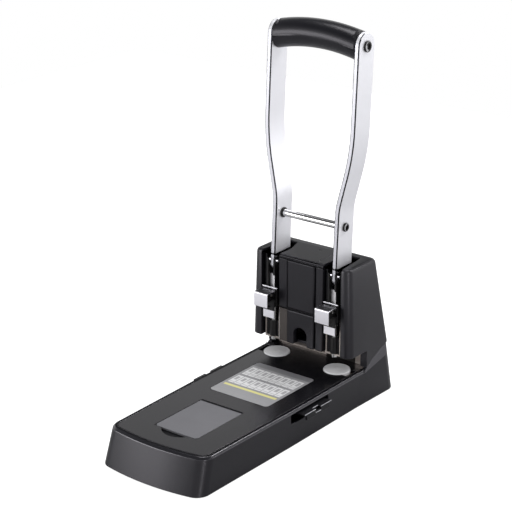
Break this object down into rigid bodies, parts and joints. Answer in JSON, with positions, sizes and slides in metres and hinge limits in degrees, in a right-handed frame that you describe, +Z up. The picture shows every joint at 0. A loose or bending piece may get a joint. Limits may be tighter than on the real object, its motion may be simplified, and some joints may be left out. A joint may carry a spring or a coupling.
{
  "type": "two-hole lever punch",
  "caption": "Heavy desk hole punch with an upright two-arm lever, twin rams with clamp levers, turning cutting discs, paper gauge and storage box in a long black base.",
  "frame": {"origin": "centre of the footprint's bounding box, on the table", "axes": "+X to the right seen from the front, +Y to the rear where the tower stands, +Z up"},
  "size_m": [0.1468, 0.3446, 0.4109],
  "materials": {
    "black_shell": "fine moulded texture, satin",
    "black_deck": "fine moulded texture, satin",
    "grey_lid": "fine moulded texture, satin",
    "hidden_plastic": "moulded",
    "rubber": "matt",
    "label": null,
    "gauge_plastic": "moulded, satin",
    "steel_plate": "pressed plate",
    "fastener_steel": "zinc plated",
    "bush_steel": "turned",
    "spring_steel": "drawn wire",
    "arm_aluminium": "satin anodised",
    "chrome_bar": "polished",
    "grip_black": "soft sheen",
    "dark_steel": "blackened",
    "bright_steel": "satin plated",
    "punch_steel": "ground",
    "disc_plastic": "turned faces"
  },
  "bodies": {
    "frame": {"base_shell": "black_shell", "deck_cover": "black_deck", "base_floor": "hidden_plastic", "rubber_feet": "rubber", "base_bolts": "fastener_steel", "foot_plate": "steel_plate", "storage_tray": "hidden_plastic", "lid_hinge_pin": "fastener_steel", "label_plate": "label", "gauge_rails": "hidden_plastic", "die_plate": "steel_plate", "disc_pivots": "fastener_steel", "back_stop": "steel_plate", "guide_blocks": "hidden_plastic", "punch_bushes": "bush_steel", "frame_tie_rods": "fastener_steel", "lever_stops": "fastener_steel", "fulcrum_shaft": "fastener_steel", "shaft_clips": "fastener_steel", "fulcrum_spacers": "fastener_steel", "tower_cover": "black_shell", "centre_panel_upper": "black_shell", "centre_panel_lower": "black_shell", "side_strip_right": "black_shell", "side_strip_left": "black_shell", "frame_flange": "steel_plate", "top_screw": "fastener_steel", "return_spring_right": "spring_steel", "return_spring_left": "spring_steel", "bay_frame_right": "steel_plate", "bay_frame_left": "steel_plate"},
    "lever": {"arm_left": "arm_aluminium", "arm_right": "arm_aluminium", "cross_pins": "fastener_steel", "crossbar": "chrome_bar", "crossbar_washers": "fastener_steel", "crossbar_screws": "fastener_steel", "grip": "grip_black", "grip_core": "fastener_steel", "grip_screws": "fastener_steel"},
    "ram_left": {"ram_block_left": "dark_steel", "ram_bar_left": "bright_steel", "ram_plate_left": "bright_steel", "yoke_left": "dark_steel", "back_tab_left": "bright_steel", "punch_tube_left": "punch_steel", "clamp_pin_left": "fastener_steel"},
    "ram_right": {"ram_block_right": "dark_steel", "ram_bar_right": "bright_steel", "ram_plate_right": "bright_steel", "yoke_right": "dark_steel", "back_tab_right": "bright_steel", "punch_tube_right": "punch_steel", "clamp_pin_right": "fastener_steel"},
    "clamp_left": {"clamp_lever_left": "bright_steel"},
    "clamp_right": {"clamp_lever_right": "bright_steel"},
    "disc_left": {"disc_left": "disc_plastic"},
    "disc_right": {"disc_right": "disc_plastic"},
    "storage_lid": {"storage_lid": "grey_lid"},
    "side_gauge": {"side_gauge": "gauge_plastic"}
  },
  "joints": [
    {"name": "lever_hinge", "type": "hinge", "parent": "frame", "child": "lever", "pos_m": [0, 0.1019, 0.1395], "axis": [1, 0, 0], "range_deg": [0, 76.2], "stiffness_Nm_per_rad": 1.2, "springref_deg": -34.38},
    {"name": "ram_slide_left", "type": "slide", "parent": "frame", "child": "ram_left", "axis": [0, 0, -1], "range_m": [0, 0.01601], "deforming": ["return_spring_left"]},
    {"name": "ram_slide_right", "type": "slide", "parent": "frame", "child": "ram_right", "axis": [0, 0, -1], "range_m": [0, 0.01601], "deforming": ["return_spring_right"]},
    {"name": "clamp_left_hinge", "type": "hinge", "parent": "ram_left", "child": "clamp_left", "pos_m": [-0.04, 0.0784, 0.112], "axis": [-1, 0, 0], "range_deg": [0, 70]},
    {"name": "clamp_right_hinge", "type": "hinge", "parent": "ram_right", "child": "clamp_right", "pos_m": [0.04, 0.0784, 0.112], "axis": [-1, 0, 0], "range_deg": [0, 70]},
    {"name": "disc_left_turn", "type": "hinge", "parent": "frame", "child": "disc_left", "pos_m": [-0.04, 0.0969, 0.036], "axis": [0, 0, 1], "continuous": true},
    {"name": "disc_right_turn", "type": "hinge", "parent": "frame", "child": "disc_right", "pos_m": [0.04, 0.0969, 0.036], "axis": [0, 0, 1], "continuous": true},
    {"name": "storage_lid_hinge", "type": "hinge", "parent": "frame", "child": "storage_lid", "pos_m": [0, -0.051, 0.0376], "axis": [-1, 0, 0], "range_deg": [0, 100]},
    {"name": "gauge_slide", "type": "slide", "parent": "frame", "child": "side_gauge", "axis": [1, 0, 0], "range_m": [-0.05, 0.05]}
  ],
  "couplings": [
    {"joint": "ram_slide_left", "follows": "lever_hinge", "m_per_rad": 0.012031},
    {"joint": "ram_slide_right", "follows": "lever_hinge", "m_per_rad": 0.012031}
  ]
}
